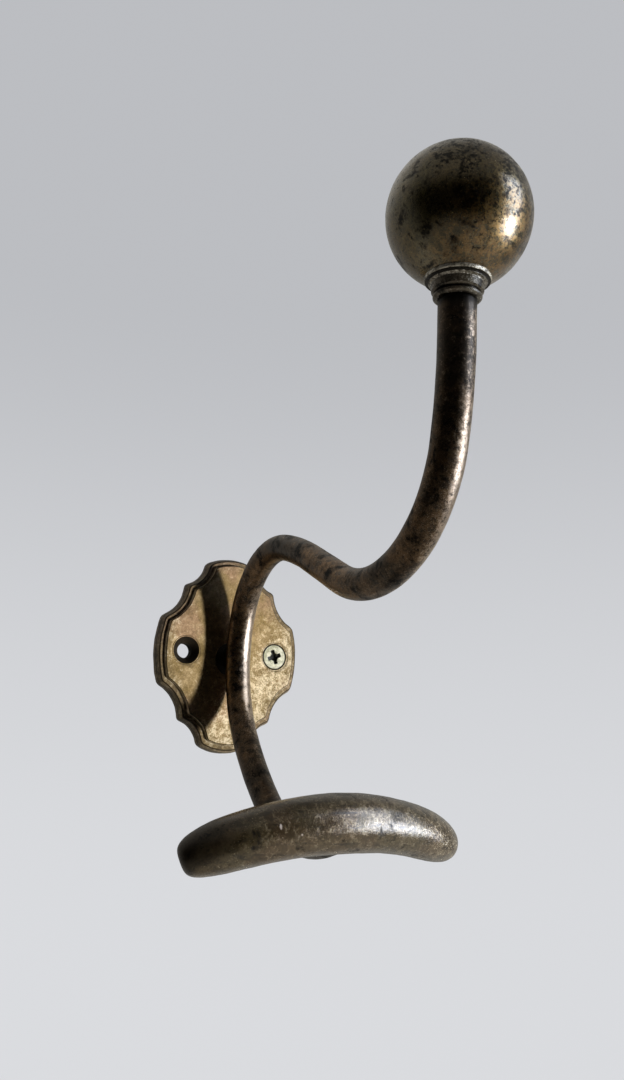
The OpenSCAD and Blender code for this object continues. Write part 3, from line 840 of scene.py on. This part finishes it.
def aged_brass(name, oxide, brown, metal, bright, copper, oxide_level, rub_level, rough, grain, pits, contrast,
               seed, tint=0.4, worn_level=0.6, metallic=1.0, gloss=0.5, shade=0.55, spots=0.0, streaks=0.0,
               coat=0.0, coat_rough=0.2, coat_ior=1.5, coat_relief=0.5, chip_glints=()):
    """Brass under a patina: oxide in blotches, black in crevices from soiling and painted shade,
    bare metal where it is rubbed and under a painted sheen.

    Colours: black oxide (also for painted shade), brown patina, metal seen through it, bright bare metal
    (also for painted sheen), copper stains.
    tint is the share of the stains, shade of dark mottling, spots and streaks of black marks,
    coat of the wax that gives the white gleam.
    """
    n = Nodes(name)
    cloud = n.noise(14.0, 4.0, 0.55, seed + 0.7)
    blotch = n.noise(5.5, 8.0, 0.66, seed + 1.3, distortion=0.3)
    mottle = n.noise(1.7, 6.0, 0.72, seed + 4.1, distortion=0.3)
    speck = n.noise(0.55, 4.0, 0.75, seed + 8.7)
    fine = n.noise(0.24, 2.0, 0.7, seed + 2.9)
    edge, rub_and_sheen, warm, soot, grime_and_shade, pale = map(n.attribute, ("edge", "rub_and_sheen", "warm", "soot", "grime_and_shade", "pale"))
    worn = n.ramp(edge, 0.1, 0.85)
    darkening = n.ramp(edge, -0.05, -0.85)
    # how much bare metal shows, painted sheen included
    bare = n.sum(n.product(rub_and_sheen, rub_level), n.product(worn, worn_level))
    bare = n.sum(bare, n.product(pale, 0.35))
    bare = n.sum(bare, n.product(n.less(mottle, 0.5), 1.5 * contrast))
    bare = n.sum(bare, n.product(n.less(speck, 0.5), 1.2 * contrast))
    bare = n.less(bare, n.product(darkening, 0.6))
    bare = n.ramp(bare, 0.10, 0.72)
    # how much black oxide lies on it; soiling and painted shade (edge below 0) blacken it too
    black = n.sum(n.product(blotch, 0.7), n.product(mottle, 0.4))
    black = n.ramp(black, 0.60 - oxide_level, 0.72 - oxide_level)
    black = n.product(black, n.less(1.0, n.product(bare, 0.75)), clamp=True)
    black = n.math("MAXIMUM", black, n.product(darkening, 0.92))
    tone = n.mix(n.ramp(blotch, 0.36, 0.62), brown, metal)
    tint_mask = n.sum(n.product(n.ramp(cloud, 0.45, 0.62), tint),
                      n.product(warm, n.ramp(mottle, 0.38, 0.56, 0.15, 0.95)), clamp=True)
    tone = n.mix(tint_mask, tone, copper)
    mottling = n.ramp(n.sum(n.product(mottle, 0.6), n.product(speck, 0.4)), 0.56, 0.38, 0.0, shade)
    tone = n.mix(mottling, tone, darker(brown))
    tone = n.mix(bare, tone, bright)
    # black and bright flecks in the coppery areas
    tone = n.mix(n.product(warm, n.ramp(speck, 0.52, 0.64, 0.0, 0.7)), tone, oxide)
    tone = n.mix(n.product(warm, n.ramp(fine, 0.56, 0.68, 0.0, 0.8)), tone, bright)
    # grime and the plate's painted shade, thinner in the mottles and on worn edges
    smut_and_shade = n.product(grime_and_shade, n.ramp(mottle, 0.3, 0.66, 1.0, 0.72))
    smut_and_shade = n.product(smut_and_shade, n.less(1.0, n.product(worn, 0.8)), clamp=True)
    tone = n.mix(smut_and_shade, tone, tuple(0.5 * (a + b) for a, b in zip(oxide, GRIME_AND_SHADE)))
    tone = n.mix(black, tone, oxide)
    if spots > 0:
        field = n.ramp(n.noise(7.0, 3.0, 0.6, seed + 21.0), 0.40, 0.62)
        lift = n.sum(n.product(field, 0.08), n.product(soot, 0.10))
        large = n.ramp(n.sum(n.noise(1.5, 3.0, 0.6, seed + 11.0), lift), 0.63, 0.79)
        small = n.ramp(n.sum(n.noise(0.75, 3.0, 0.6, seed + 13.0), lift), 0.66, 0.80)
        spot = n.product(n.sum(large, small, clamp=True), spots)
        tone = n.mix(spot, tone, darker(oxide))
        black = n.math("MAXIMUM", black, spot)
    if streaks > 0:
        line = n.ramp(n.noise(1.3, 3.0, 0.6, seed + 31.0, stretch=(0.10, 1.0, 1.0)), 0.56, 0.68)
        tone = n.mix(n.product(line, streaks), tone, oxide)
    # painted glint: near-white marks on the nicks
    for chip_glint in chip_glints:
        tone = n.mix(n.chip_glint(*chip_glint), tone, CHIP_GLINT_TONE)
    n.put("Base Color", tone)
    n.put("Metallic", metallic)
    roughness = n.sum(n.ramp(mottle, 0.3, 0.7, rough[0], rough[1]), n.product(black, 0.12))
    roughness = n.less(roughness, n.product(bare, 0.05), clamp=True)
    n.put("Roughness", roughness)
    height = n.sum(n.product(speck, 0.8), n.product(fine, 0.4))
    relief = n.sum(n.product(mottle, 0.8), n.product(black, -0.15))
    n.put("Normal", n.bump(height, GRAIN_H, grain, n.bump(relief, PITS_H, pits)))
    n.put("Specular IOR Level", gloss)
    if coat > 0:
        n.put("Coat Weight", n.ramp(black, 0.1, 0.9, coat, coat * 0.25))
        n.put("Coat Roughness", coat_rough)
        n.put("Coat IOR", coat_ior)
        n.put("Coat Normal", n.bump(n.sum(relief, height), COAT_H, coat_relief))
    return n.material


def screw_metal():
    """Zinc with a yellowish tarnish, with painted black shade where "edge" is below 0."""
    n = Nodes("screw_zinc")
    tint = n.noise(2.0, 6.0, 0.65, 3.0)
    speck = n.noise(0.5, 4.0, 0.7, 7.0)
    darkening = n.ramp(n.attribute("edge"), -0.15, -0.8)
    tone = n.mix(n.ramp(tint, 0.38, 0.62), (0.42, 0.40, 0.25), (0.84, 0.80, 0.60))
    tone = n.mix(n.product(n.ramp(speck, 0.52, 0.7), 0.5), tone, (0.25, 0.22, 0.12))
    tone = n.mix(n.product(darkening, 0.97), tone, (0.010, 0.009, 0.007))
    n.put("Base Color", tone)
    n.put("Metallic", 0.3)
    n.put("Roughness", n.ramp(speck, 0.3, 0.7, 0.30, 0.5))
    n.put("Normal", n.bump(n.sum(speck, tint), 0.08, 0.4))
    return n.material


# -------------------- pieces and their finishes
arm = build_arm()
ferrule = build_ferrule()
knob = build_knob()
bar = build_bar()
rose = build_plate()
screw = build_screw()

# two bright chips in the crossbar's patina, painted near white as the glint of its nicks: place, size and stretch
CHIP_GLINTS = [((-19.1, -87.1, -48.0), 0.75, (0.45, 0.8, 1.0)), ((-14.0, -88.0, -49.8), 0.28, (1, 1, 1))]
arm.data.materials.append(aged_brass(
    "arm_patina", oxide=(0.007, 0.006, 0.005), brown=(0.030, 0.024, 0.017), metal=(0.062, 0.048, 0.034),
    bright=(0.60, 0.47, 0.34), copper=(0.26, 0.152, 0.072), oxide_level=0.06, rub_level=0.70, rough=(0.31, 0.42),
    grain=0.38, pits=0.3, tint=0.35, contrast=1.1, coat=0.22, coat_rough=0.22, coat_relief=0.3, seed=0.0))
ferrule.data.materials.append(aged_brass(
    "collar_patina", oxide=(0.006, 0.005, 0.004), brown=(0.050, 0.042, 0.031), metal=(0.21, 0.178, 0.125),
    bright=(0.60, 0.55, 0.45), copper=(0.16, 0.11, 0.07), oxide_level=0.09, rub_level=0.16, rough=(0.17, 0.26),
    grain=0.9, pits=0.8, worn_level=1.3, contrast=1.3, coat=0.5, gloss=0.15, metallic=0.7, seed=3.0))
knob.data.materials.append(aged_brass(
    "knob_patina", oxide=(0.008, 0.006, 0.004), brown=(0.112, 0.088, 0.031), metal=(0.170, 0.139, 0.066),
    bright=(0.30, 0.25, 0.12), copper=(0.32, 0.180, 0.056), oxide_level=0.06, rub_level=0.05, rough=(0.23, 0.33),
    grain=0.34, pits=0.45, spots=0.9, tint=0.2, contrast=1.25, coat=0.8, coat_rough=0.14, coat_ior=1.7,
    coat_relief=0.25, shade=0.85, seed=7.0))
bar.data.materials.append(aged_brass(
    "bar_patina", oxide=(0.010, 0.008, 0.006), brown=(0.080, 0.058, 0.028), metal=(0.146, 0.112, 0.058),
    bright=(0.42, 0.35, 0.24), copper=(0.17, 0.100, 0.055), oxide_level=0.03, rub_level=0.22, rough=(0.20, 0.30),
    grain=0.6, pits=0.4, tint=0.35, contrast=1.15, coat=0.75, coat_rough=0.14, coat_ior=1.6, coat_relief=0.5,
    metallic=0.6, shade=0.65, streaks=0.6, seed=11.0, chip_glints=CHIP_GLINTS))
rose.data.materials.append(aged_brass(
    "plate_patina", oxide=(0.012, 0.009, 0.006), brown=(0.33, 0.225, 0.085), metal=(0.53, 0.38, 0.19),
    bright=(0.92, 0.79, 0.56), copper=(0.54, 0.34, 0.21), oxide_level=-0.07, rub_level=0.20, rough=(0.30, 0.40),
    grain=0.6, pits=0.5, tint=0.75, seed=17.0, metallic=0.0, contrast=1.35, gloss=0.16))
screw.data.materials.append(screw_metal())

for piece, node, slot in ((arm, "stem", "arm_brass"), (ferrule, "collar", "collar_brass"),
                          (knob, "ball_knob", "ball_brass"), (bar, "crossbar", "bar_brass"),
                          (rose, "backplate", "plate_brass"), (screw, "wood_screw", "screw_steel")):
    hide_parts(node)
    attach(piece, "root")

# -------------------- floor, backdrop and reflections
FLOOR_Z, FLOOR_R, COVE_R, COVE_SIDES, COVE_STEPS, DOME_STEPS = -420.0, 460, 2300.0, 128, 60, 40
STAGE_Y = -60
PAPER_LOW, PAPER_HIGH = (0.69, 0.70, 0.725), (0.50, 0.51, 0.535)  # glow at the floor and overhead
RAYS = ("diffuse", "transmission", "volume_scatter", "shadow")


def stage_piece(obj, n, unseen_by):
    """Gives a piece of the stage its material, and hides it from every kind of ray except the
    camera's or the glossy ones: `unseen_by` names the other of these two."""
    n.material.cycles.emission_sampling = "NONE"
    obj.data.materials.append(n.material)
    for ray in (unseen_by, *RAYS):
        setattr(obj, "visible_" + ray, False)


def build_cove():
    """A round floor that curves up into a pale backdrop on every side and closes overhead. It glows
    evenly, so that no lamp leaves a patch on it, and only the camera sees it."""
    profile = [(1.0, FLOOR_Z), (140, FLOOR_Z), (300, FLOOR_Z), (FLOOR_R, FLOOR_Z + 6)]
    for i in range(1, COVE_STEPS + 1):
        a = math.pi / 2 * i / COVE_STEPS
        profile.append((FLOOR_R + (COVE_R - FLOOR_R) * math.sin(a) ** 1.15,
                        FLOOR_Z + 6 + COVE_R * 0.9 * (1 - math.cos(a)) ** 1.1))
    base = profile[-1][1]
    for i in range(1, DOME_STEPS):
        a = math.pi / 2 * i / DOME_STEPS
        profile.append((COVE_R * math.cos(a), base + COVE_R * 0.7 * math.sin(a)))
    verts, faces = lathe(profile, COVE_SIDES, Matrix.Translation((0, STAGE_Y, 0)))
    obj = mesh_object("cove", verts, turned_round(faces))
    n = Nodes("cove_paper")
    n.put("Base Color", (0.02, 0.02, 0.02))
    n.put("Roughness", 0.9)
    n.put("Specular IOR Level", 0.1)
    n.put("Emission Color", n.mix(n.ramp(n.split(n.coords)[2], -0.45, 1.3), PAPER_LOW, PAPER_HIGH))
    n.put("Emission Strength", 1.0)
    stage_piece(obj, n, "glossy")


CARD_R, CARD_RINGS, CARD_SIDES = 1500, 49, 96
WALL_GLOW, ROOM_GLOW, TOP_GLOW, FLOOR_GLOW = 0.23, 0.003, 0.22, 0.20
SIDE_GLOW, TABLE_GLOW, WINDOW_GLOW, SKY_GLOW = 0.25, 0.20, 17.0, 5.1
SIDE_AZIMUTH, WINDOW_AZIMUTH, SKY_AZIMUTH = 85, 54, 51
TABLE_WAY = (0.49, -0.55, -0.68)


def build_studio():
    """What the metal mirrors: a pale wall behind, a dim room in front, a tall window to the right.
    Only reflections see it, as they see the cards around a product on a photographer's table."""
    verts = []
    for i in range(CARD_RINGS):
        a = math.pi * (0.002 + 0.996 * i / (CARD_RINGS - 1))
        verts += circle(CARD_R * math.sin(a), -CARD_R * math.cos(a), CARD_SIDES)
    obj = mesh_object("studio_cards", verts, turned_round(grid_faces(CARD_RINGS, CARD_SIDES)))
    obj.location = (0.0, -0.07, 0.0)
    n = Nodes("studio_cards")
    n.tree.nodes.remove(n.shader)
    glow = n.add("ShaderNodeEmission")
    n.link(glow.outputs[0], n.output.inputs["Surface"])
    way = n.vector("NORMALIZE", n.coords)[0]
    x, y, z = n.split(way)

    def toward(azimuth):
        """Cosine and sine of the bearing from an azimuth, which counts from -Y towards +X."""
        a = math.radians(azimuth)
        ahead = n.less(n.product(x, math.sin(a)), n.product(y, math.cos(a)))
        aside = n.sum(n.product(x, math.cos(a)), n.product(y, math.sin(a)))
        return ahead, aside

    def window(azimuth, half_width, low, high, soft):
        """1 inside an upright opening in the cards, with soft sides. Sizes are sines of angles."""
        ahead, aside = toward(azimuth)
        across = n.ramp(n.math("ABSOLUTE", aside), half_width + soft, half_width - soft)
        up = n.product(n.ramp(z, low - soft, low + soft), n.ramp(z, high + soft, high - soft))
        return n.product(n.product(across, up), n.ramp(ahead, 0.0, 0.1))

    level = n.sum(n.product(n.ramp(y, 0.0, 0.6), WALL_GLOW), ROOM_GLOW)
    level = n.sum(level, n.product(n.ramp(z, 0.35, 0.8), TOP_GLOW))
    level = n.sum(level, n.product(n.ramp(z, -0.3, -0.7), FLOOR_GLOW))
    below = n.vector("DOT_PRODUCT", way, TABLE_WAY)["Value"]
    level = n.sum(level, n.product(n.ramp(below, 0.70, 0.95), TABLE_GLOW))
    ahead, _ = toward(SIDE_AZIMUTH)
    level = n.sum(level, n.product(n.ramp(ahead, 0.35, 0.95), SIDE_GLOW))
    level = n.sum(level, n.product(window(WINDOW_AZIMUTH, 0.18, -0.33, -0.01, 0.08), WINDOW_GLOW))
    level = n.sum(level, n.product(window(SKY_AZIMUTH, 0.22, -0.02, 0.62, 0.07), SKY_GLOW))
    # the room is a little warm, the daylight cool
    n.link(n.mix(n.ramp(level, 0.4, 2.0), (1.0, 0.97, 0.90), (0.84, 0.94, 1.14)), glow.inputs["Color"])
    n.link(level, glow.inputs["Strength"])
    stage_piece(obj, n, "camera")


build_cove()
build_studio()


# -------------------- lamps
def area_light(name, place, aim, width, height, power, colour):
    """A soft lamp. The metal mirrors the cards, so no lamp shows in it."""
    data = bpy.data.lights.new(name, "AREA")
    data.shape = "RECTANGLE"
    data.size, data.size_y = width, height
    data.energy = power
    data.color = colour
    obj = new_object(name, data)
    obj.location = Vector(place)
    obj.rotation_euler = (Vector(aim) - Vector(place)).to_track_quat("-Z", "Y").to_euler()
    obj.visible_camera = False
    obj.visible_glossy = False


world = bpy.data.worlds.new("studio")
scene.world = world
world.use_nodes = True
background = world.node_tree.nodes["Background"].inputs
background["Color"].default_value = (0.74, 0.77, 0.82, 1.0)
background["Strength"].default_value = 0.012

# the window's daylight, low from the right: it throws the arm's shadow across the plate
area_light("key", (0.655, -0.87, -0.38), (0.0, -0.005, 0.0), 0.10, 0.14, 17.5, (1.0, 0.985, 0.95))
# light back from the wall, on the plate's left flank
area_light("bounce", (-0.85, 0.20, 0.05), (0.0, 0.0, 0.0), 0.3, 0.6, 2.0, (0.95, 0.97, 1.0))
# fill for views from behind, and a trace from above
area_light("behind", (-0.35, 1.1, 0.45), (0.0, 0.0, 0.0), 0.8, 0.8, 9.0, (0.96, 0.98, 1.0))
area_light("top", (0.1, 0.05, 1.3), (0.0, -0.05, 0.0), 1.0, 1.0, 0.3, (0.97, 0.98, 1.0))

scene.view_settings.view_transform = "Standard"

# -------------------- camera, as fitted to the photo
HEADING, PITCH, ROLL = math.radians(27.0), math.radians(13.05), math.radians(1.68)
EYE = Vector((-115.68, -288.03, -31.47)) * MM
SENSOR, FOCAL_PX, PHOTO_H_PX = 36.0, 923.2, 1080.0
forward = Vector((math.sin(HEADING) * math.cos(PITCH), math.cos(HEADING) * math.cos(PITCH), math.sin(PITCH)))
right = Vector((math.cos(HEADING), -math.sin(HEADING), 0.0))
up = right.cross(forward)
right_r = right * math.cos(ROLL) + up * math.sin(ROLL)
up_r = up * math.cos(ROLL) - right * math.sin(ROLL)
camera_data = bpy.data.cameras.new("camera")
camera_data.sensor_fit = "VERTICAL"
camera_data.sensor_height = SENSOR
camera_data.sensor_width = SENSOR
camera_data.lens = SENSOR * FOCAL_PX / PHOTO_H_PX
camera_data.clip_start = 0.01
camera = new_object("camera", camera_data)
camera.matrix_world = Matrix((*zip(right_r, up_r, -forward, EYE), (0, 0, 0, 1)))
scene.camera = camera
